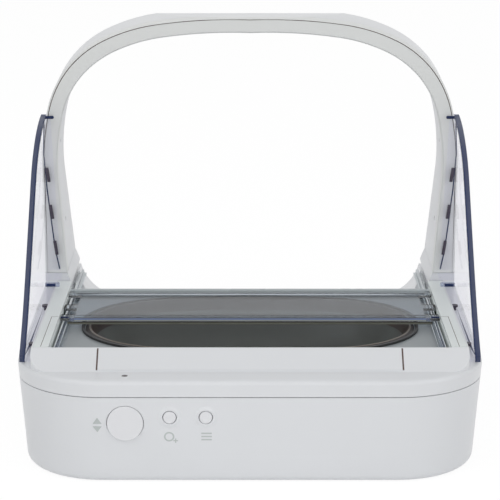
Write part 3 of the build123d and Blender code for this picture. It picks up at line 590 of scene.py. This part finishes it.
def makeSideParts(side, sign):
    def deckPlace(u, v, depth):
        return onDeck(sign * u, v, depth)

    def flat(u, v, depth):
        return Vector((sign * u, v, depth)) * mm

    def upright(u, v, depth):
        return Vector((sign * u, depth, v)) * mm

    for name, part, finish in (("slotLiner_", liner, finishes["pale_grey_abs"]),
                               ("slotSill_", sill, finishes["pale_grey_abs"])):
        mesh = boxMesh(name + side, part["x"], part["s"], part["t"], deckPlace)
        addPiece(name + side, mesh, finish, "housing", bevelMm=0.08)
    mesh = boxMesh("panelTie_" + side, tie["x"], tie["y"], tie["z"], flat)
    addPiece("panelTie_" + side, mesh, paleEdge, "housing", bevelMm=0.3)
    mesh = boxMesh("panelTieCore_" + side, tie["middle"], (tie["y"][0] - 0.15, tie["y"][0] + 0.5),
                   (tie["z"][0] + 0.3, tie["z"][1] - 0.3), flat)
    addPiece("panelTieCore_" + side, mesh, navyEdge, "housing", bevelMm=0.1)
    mesh = boxMesh("panelHook_" + side, hook["x"], hook["y"], hook["z"], flat)
    addPiece("panelHook_" + side, mesh, navyEdge, "housing", bevelMm=0.5)
    outlines = []
    for x, z in clips["at"]:
        w, h, lean = clips["halfW"], clips["halfH"], clips["lean"]
        outlines.append([(x - w - lean, z - h), (x + w - lean, z - h), (x + w + lean, z + h), (x - w + lean, z + h)])
    mesh = plateMesh("panelClips_" + side, outlines, clips["y"][0], clips["y"][1], upright)
    addPiece("panelClips_" + side, mesh, finishes["dark_screw"], "housing", bevelMm=0.25,
             stands=("panel_clips_" + side,))
    mesh = plateMesh("flangeEdge_" + side, [ribbonOutline(flange["line"], flange["halfW"])], flange["y"][0],
                     flange["y"][1], upright)
    addPiece("flangeEdge_" + side, mesh, navyEdge, "housing")
    # painted shade: a dark line along the deck strip's seam and across its end
    mesh = plateMesh("stripSeam_" + side, [rectangle(*seam["x"], *seam["s"]),
                                           rectangle(*seam["cross"], *seam["crossS"])],
                     seam["t"][0], seam["t"][1], deckPlace)
    addPiece("stripSeam_" + side, mesh, jointShade, "housing")
    mesh = boxMesh("leafWing_" + side, leafEdge["wingX"], leafEdge["wingS"], leafEdge["wingT"], deckPlace)
    addPiece("leafWing_" + side, mesh, navyEdge, "rear_lid", bevelMm=0.15)
    mesh = boxMesh("leafBracket_" + side, leafEdge["bracketX"], leafEdge["bracketS"], leafEdge["bracketT"],
                   deckPlace)
    addPiece("leafBracket_" + side, mesh, paleEdge, "rear_lid", bevelMm=0.15)


def makeLeafEdges():
    for name, t, finish, body in edgeLines:
        half = leafEdge["halfW"] if body == "rear_lid" else leafEdge["frontHalfW"]
        mesh = boxMesh(name, (-half, half), leafEdge["s"], t, onDeck)
        addPiece(name, mesh, finish, body)


def tintClearParts():
    for side in ("left", "right"):
        finishFaces("side_panel_" + side, navyEdge,
                    lambda normal, place: abs(normal.x) < 0.5 and abs(place.x) > 110.4 and place.z > 52.5
                    and place.y < 12.4)
        finishFaces("lid_guide_" + side, paleEdge, lambda normal, place: abs(normal.z) < 0.5 and place.y < -10)
        finishFaces("lid_guide_" + side, frosted, lambda normal, place: place.y > -8)


for side, sign in (("left", -1), ("right", 1)):
    makeSideParts(side, sign)
makeLeafEdges()
tintClearParts()
print("clear parts")


# studio: white floor and world, soft lamps
studio = {"floorM": 6.0, "worldLevel": 0.53, "keyWatts": 5.6, "fillWatts": 4.0,
          "topWatts": 2.0, "lowWatts": 1.8, "bounceWatts": 2.2}


def makeFloor():
    bpy.ops.mesh.primitive_plane_add(size=studio["floorM"], location=(0, 0, 0))
    floor = bpy.context.object
    floor.name = "floor"
    material, tree = newMaterial("paperBackdropMatt")
    rays = addNode(tree, "ShaderNodeLightPath")
    seen = addNode(tree, "ShaderNodeMath", {"operation": "MAXIMUM"},
                   {0: rays.outputs["Is Camera Ray"], 1: rays.outputs["Is Transmission Ray"]})
    seen = addNode(tree, "ShaderNodeMath", {"operation": "MAXIMUM"},
                   {0: seen.outputs[0], 1: rays.outputs["Is Glossy Ray"]})
    share = addNode(tree, "ShaderNodeMath", {"operation": "MULTIPLY"}, {0: seen.outputs[0]})
    share.inputs[1].default_value = 0.86
    paper = addNode(tree, "ShaderNodeBsdfDiffuse", None, None, Color=toLinear("#F2F2F2"))
    glow = addNode(tree, "ShaderNodeEmission", None, None, Color=(1, 1, 1, 1), Strength=1.06)
    mixed = addNode(tree, "ShaderNodeMixShader", None, {0: share.outputs[0]})
    tree.links.new(paper.outputs[0], mixed.inputs[1])
    tree.links.new(glow.outputs[0], mixed.inputs[2])
    addNode(tree, "ShaderNodeOutputMaterial", None, {"Surface": mixed.outputs[0]})
    floor.data.materials.append(material)


def makeWorld():
    world = bpy.data.worlds.new("studioWorld")
    bpy.context.scene.world = world
    world.use_nodes = True
    tree = world.node_tree
    tree.nodes.clear()
    rays = addNode(tree, "ShaderNodeLightPath")
    seen = addNode(tree, "ShaderNodeMath", {"operation": "MAXIMUM"},
                   {0: rays.outputs["Is Camera Ray"], 1: rays.outputs["Is Transmission Ray"]})
    seen = addNode(tree, "ShaderNodeMath", {"operation": "MAXIMUM"},
                   {0: seen.outputs[0], 1: rays.outputs["Is Glossy Ray"]})
    light = addNode(tree, "ShaderNodeBackground", None, None, Color=(1, 1, 1, 1), Strength=studio["worldLevel"])
    plain = addNode(tree, "ShaderNodeBackground", None, None, Color=(1, 1, 1, 1), Strength=1.0)
    mixed = addNode(tree, "ShaderNodeMixShader", None, {0: seen.outputs[0]})
    tree.links.new(light.outputs[0], mixed.inputs[1])
    tree.links.new(plain.outputs[0], mixed.inputs[2])
    addNode(tree, "ShaderNodeOutputWorld", None, {"Surface": mixed.outputs[0]})


def makeLamp(name, place, aim, size, watts):
    light = bpy.data.lights.new(name, "AREA")
    light.shape = "DISK"
    light.size = size
    light.energy = watts
    lamp = bpy.data.objects.new(name, light)
    bpy.context.collection.objects.link(lamp)
    lamp.location = place
    lamp.rotation_euler = (Vector(aim) - Vector(place)).to_track_quat("-Z", "Y").to_euler()


# a spot that falls on the paper in front of the object, which throws it back up at the tub
def makeBounce():
    light = bpy.data.lights.new("bounceSpot", "SPOT")
    light.energy = studio["bounceWatts"]
    light.spot_size = radians(44)
    light.spot_blend = 1.0
    light.shadow_soft_size = 0.08
    spot = bpy.data.objects.new("bounceSpot", light)
    bpy.context.collection.objects.link(spot)
    place, aim = Vector((0, -0.46, 0.48)), Vector((0, -0.35, 0))
    spot.location = place
    spot.rotation_euler = (aim - place).to_track_quat("-Z", "Y").to_euler()


makeFloor()
makeWorld()
makeBounce()
makeLamp("keyLamp", (-1.1, -1.0, 1.5), (0, 0, 0.05), 1.2, studio["keyWatts"])
makeLamp("fillLamp", (1.3, -0.9, 0.9), (0, 0, 0.08), 1.4, studio["fillWatts"])
makeLamp("topLamp", (0.1, 0.6, 1.8), (0, 0, 0.05), 1.6, studio["topWatts"])
makeLamp("lowLamp", (0.0, -1.1, 0.16), (0, -0.25, -0.02), 0.8, studio["lowWatts"])
bpy.context.scene.view_settings.view_transform = "Standard"
print("studio")
